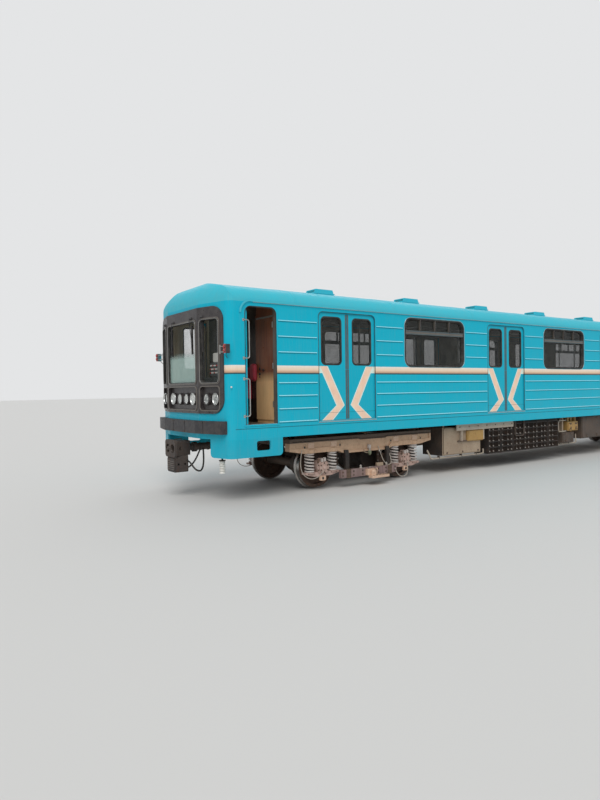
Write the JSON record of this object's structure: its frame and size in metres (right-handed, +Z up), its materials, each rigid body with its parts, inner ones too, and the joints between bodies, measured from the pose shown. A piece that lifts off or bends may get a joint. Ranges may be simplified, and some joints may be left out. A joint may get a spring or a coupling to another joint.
{
  "type": "metro train head car",
  "caption": "Electric metro car with a driver's cab, four pairs of sliding doors a side, two motor bogies and couplers.",
  "frame": {"origin": "midway between the coupler faces, on the car's centre line, at the lowest line of the wheel flanges", "axes": "+X along the car towards its rear end (the cab is at -X), +Y to the far side, +Z up"},
  "size_m": [19.47, 2.87, 3.74],
  "materials": {
    "body_paint": "gloss enamel, dusty, with rain marks",
    "roof_paint": "weathered enamel",
    "door_paint": "gloss enamel with cream stripes",
    "mask_plastic": "smooth moulded shell",
    "strip_plastic": "satin moulded strip",
    "glass": "clear, slightly dusty",
    "lamp_lens": "clear fluted lens in a bright bowl",
    "frame_steel": "dark underbody paint with brake dust",
    "bogie_paint": "cream-brown paint under brake dust",
    "spring_steel": "pale grey paint, dusty",
    "axle_box_iron": "as cast, painted and dusty",
    "wheel_steel": "rolled steel, bright tread, rusty web",
    "axle_steel": "forged steel, oily dust",
    "motor_iron": "cast housing, grimy",
    "shoe_beam": "impregnated insulating beam with iron fittings",
    "brake_iron": "cast brake shoes and levers, brown with brake dust",
    "coupler_iron": "cast head, worn bright at its face",
    "gear_paint": "beige paint with grime",
    "resistor_black": "black frames with grid elements",
    "laminate": "brown laminate board",
    "desk_plastic": "grained console plastic",
    "seat_cloth": "dark red seat leathercloth",
    "bench_cloth": "brown bench leathercloth",
    "pole_metal": "polished tube",
    "rail_metal": "dull tube"
  },
  "bodies": {
    "car_body": {"roof": "roof_paint", "side_wall_near": "body_paint", "side_wall_far": "body_paint", "nose_shell": "body_paint", "nose_mask": "mask_plastic", "nose_strip": "strip_plastic", "headlamps": "lamp_lens", "aprons": "body_paint", "rear_wall": "body_paint", "glazing": "glass", "floor_frame": "frame_steel", "cab_partition": "laminate", "cab_desk": "desk_plastic", "cab_seats": "seat_cloth", "saloon_benches": "bench_cloth", "grab_poles": "pole_metal", "cab_rails": "rail_metal", "resistor_bank": "resistor_black", "underfloor_gear": "gear_paint"},
    "cab_door_near": {"cab_door_near": "door_paint"},
    "cab_door_far": {"cab_door_far": "door_paint"},
    "rear_door": {"rear_door": "door_paint"},
    "coupler_front": {"coupler_front": "coupler_iron"},
    "coupler_rear": {"coupler_rear": "coupler_iron"},
    "bogie_front": {"bogie_front_frame": "bogie_paint", "bogie_front_axle_boxes": "axle_box_iron", "bogie_front_springs": "spring_steel", "bogie_front_motors": "motor_iron", "bogie_front_shoe_gear": "shoe_beam", "bogie_front_brakes": "brake_iron"},
    "bogie_rear": {"bogie_rear_frame": "bogie_paint", "bogie_rear_axle_boxes": "axle_box_iron", "bogie_rear_springs": "spring_steel", "bogie_rear_motors": "motor_iron", "bogie_rear_shoe_gear": "shoe_beam", "bogie_rear_brakes": "brake_iron"},
    "wheelset_1": {"wheels_1": "wheel_steel", "axle_1": "axle_steel"},
    "wheelset_2": {"wheels_2": "wheel_steel", "axle_2": "axle_steel"},
    "wheelset_3": {"wheels_3": "wheel_steel", "axle_3": "axle_steel"},
    "wheelset_4": {"wheels_4": "wheel_steel", "axle_4": "axle_steel"},
    "door_1_near_rear": {"door_1_near_rear": "door_paint"},
    "door_1_near_front": {"door_1_near_front": "door_paint"},
    "door_1_far_rear": {"door_1_far_rear": "door_paint"},
    "door_1_far_front": {"door_1_far_front": "door_paint"},
    "door_2_near_rear": {"door_2_near_rear": "door_paint"},
    "door_2_near_front": {"door_2_near_front": "door_paint"},
    "door_2_far_rear": {"door_2_far_rear": "door_paint"},
    "door_2_far_front": {"door_2_far_front": "door_paint"},
    "door_3_near_rear": {"door_3_near_rear": "door_paint"},
    "door_3_near_front": {"door_3_near_front": "door_paint"},
    "door_3_far_rear": {"door_3_far_rear": "door_paint"},
    "door_3_far_front": {"door_3_far_front": "door_paint"},
    "door_4_near_rear": {"door_4_near_rear": "door_paint"},
    "door_4_near_front": {"door_4_near_front": "door_paint"},
    "door_4_far_rear": {"door_4_far_rear": "door_paint"},
    "door_4_far_front": {"door_4_far_front": "door_paint"}
  },
  "joints": [
    {"name": "bogie_front_turn", "type": "hinge", "parent": "car_body", "child": "bogie_front", "pos_m": [-6.185, 0, 0.99], "axis": [0, 0, 1], "range_deg": [-5, 5]},
    {"name": "bogie_rear_turn", "type": "hinge", "parent": "car_body", "child": "bogie_rear", "pos_m": [6.415, 0, 0.99], "axis": [0, 0, 1], "range_deg": [-5, 5]},
    {"name": "wheelset_1_spin", "type": "hinge", "parent": "bogie_front", "child": "wheelset_1", "pos_m": [-7.235, 0, 0.418], "axis": [0, 1, 0], "continuous": true},
    {"name": "wheelset_2_spin", "type": "hinge", "parent": "bogie_front", "child": "wheelset_2", "pos_m": [-5.135, 0, 0.418], "axis": [0, 1, 0], "continuous": true},
    {"name": "wheelset_3_spin", "type": "hinge", "parent": "bogie_rear", "child": "wheelset_3", "pos_m": [5.365, 0, 0.418], "axis": [0, 1, 0], "continuous": true},
    {"name": "wheelset_4_spin", "type": "hinge", "parent": "bogie_rear", "child": "wheelset_4", "pos_m": [7.465, 0, 0.418], "axis": [0, 1, 0], "continuous": true},
    {"name": "door_1_near_rear_slide", "type": "slide", "parent": "car_body", "child": "door_1_near_rear", "axis": [1, 0, 0], "range_m": [0, 0.63]},
    {"name": "door_1_near_front_slide", "type": "slide", "parent": "car_body", "child": "door_1_near_front", "axis": [-1, 0, 0], "range_m": [0, 0.63]},
    {"name": "door_1_far_rear_slide", "type": "slide", "parent": "car_body", "child": "door_1_far_rear", "axis": [1, 0, 0], "range_m": [0, 0.63]},
    {"name": "door_1_far_front_slide", "type": "slide", "parent": "car_body", "child": "door_1_far_front", "axis": [-1, 0, 0], "range_m": [0, 0.63]},
    {"name": "door_2_near_rear_slide", "type": "slide", "parent": "car_body", "child": "door_2_near_rear", "axis": [1, 0, 0], "range_m": [0, 0.63]},
    {"name": "door_2_near_front_slide", "type": "slide", "parent": "car_body", "child": "door_2_near_front", "axis": [-1, 0, 0], "range_m": [0, 0.63]},
    {"name": "door_2_far_rear_slide", "type": "slide", "parent": "car_body", "child": "door_2_far_rear", "axis": [1, 0, 0], "range_m": [0, 0.63]},
    {"name": "door_2_far_front_slide", "type": "slide", "parent": "car_body", "child": "door_2_far_front", "axis": [-1, 0, 0], "range_m": [0, 0.63]},
    {"name": "door_3_near_rear_slide", "type": "slide", "parent": "car_body", "child": "door_3_near_rear", "axis": [1, 0, 0], "range_m": [0, 0.63]},
    {"name": "door_3_near_front_slide", "type": "slide", "parent": "car_body", "child": "door_3_near_front", "axis": [-1, 0, 0], "range_m": [0, 0.63]},
    {"name": "door_3_far_rear_slide", "type": "slide", "parent": "car_body", "child": "door_3_far_rear", "axis": [1, 0, 0], "range_m": [0, 0.63]},
    {"name": "door_3_far_front_slide", "type": "slide", "parent": "car_body", "child": "door_3_far_front", "axis": [-1, 0, 0], "range_m": [0, 0.63]},
    {"name": "door_4_near_rear_slide", "type": "slide", "parent": "car_body", "child": "door_4_near_rear", "axis": [1, 0, 0], "range_m": [0, 0.63]},
    {"name": "door_4_near_front_slide", "type": "slide", "parent": "car_body", "child": "door_4_near_front", "axis": [-1, 0, 0], "range_m": [0, 0.63]},
    {"name": "door_4_far_rear_slide", "type": "slide", "parent": "car_body", "child": "door_4_far_rear", "axis": [1, 0, 0], "range_m": [0, 0.63]},
    {"name": "door_4_far_front_slide", "type": "slide", "parent": "car_body", "child": "door_4_far_front", "axis": [-1, 0, 0], "range_m": [0, 0.63]},
    {"name": "cab_door_near_swing", "type": "hinge", "parent": "car_body", "child": "cab_door_near", "pos_m": [-8.966, -1.298, 2.2], "axis": [0, 0, 1], "range_deg": [-90, 0]},
    {"name": "cab_door_far_swing", "type": "hinge", "parent": "car_body", "child": "cab_door_far", "pos_m": [-8.966, 1.298, 2.2], "axis": [0, 0, -1], "range_deg": [0, 90]},
    {"name": "rear_door_swing", "type": "hinge", "parent": "car_body", "child": "rear_door", "pos_m": [9.47, 0.282, 2.2], "axis": [0, 0, -1], "range_deg": [0, 90]},
    {"name": "coupler_front_swing", "type": "hinge", "parent": "car_body", "child": "coupler_front", "pos_m": [-8.605, 0, 0.858], "axis": [0, 0, 1], "range_deg": [-12, 12]},
    {"name": "coupler_rear_swing", "type": "hinge", "parent": "car_body", "child": "coupler_rear", "pos_m": [8.605, 0, 0.858], "axis": [0, 0, 1], "range_deg": [-12, 12]}
  ],
  "couplings": [
    {"joint": "door_1_near_front_slide", "follows": "door_1_near_rear_slide", "ratio": 1},
    {"joint": "door_1_far_front_slide", "follows": "door_1_far_rear_slide", "ratio": 1},
    {"joint": "door_2_near_front_slide", "follows": "door_2_near_rear_slide", "ratio": 1},
    {"joint": "door_2_far_front_slide", "follows": "door_2_far_rear_slide", "ratio": 1},
    {"joint": "door_3_near_front_slide", "follows": "door_3_near_rear_slide", "ratio": 1},
    {"joint": "door_3_far_front_slide", "follows": "door_3_far_rear_slide", "ratio": 1},
    {"joint": "door_4_near_front_slide", "follows": "door_4_near_rear_slide", "ratio": 1},
    {"joint": "door_4_far_front_slide", "follows": "door_4_far_rear_slide", "ratio": 1}
  ]
}
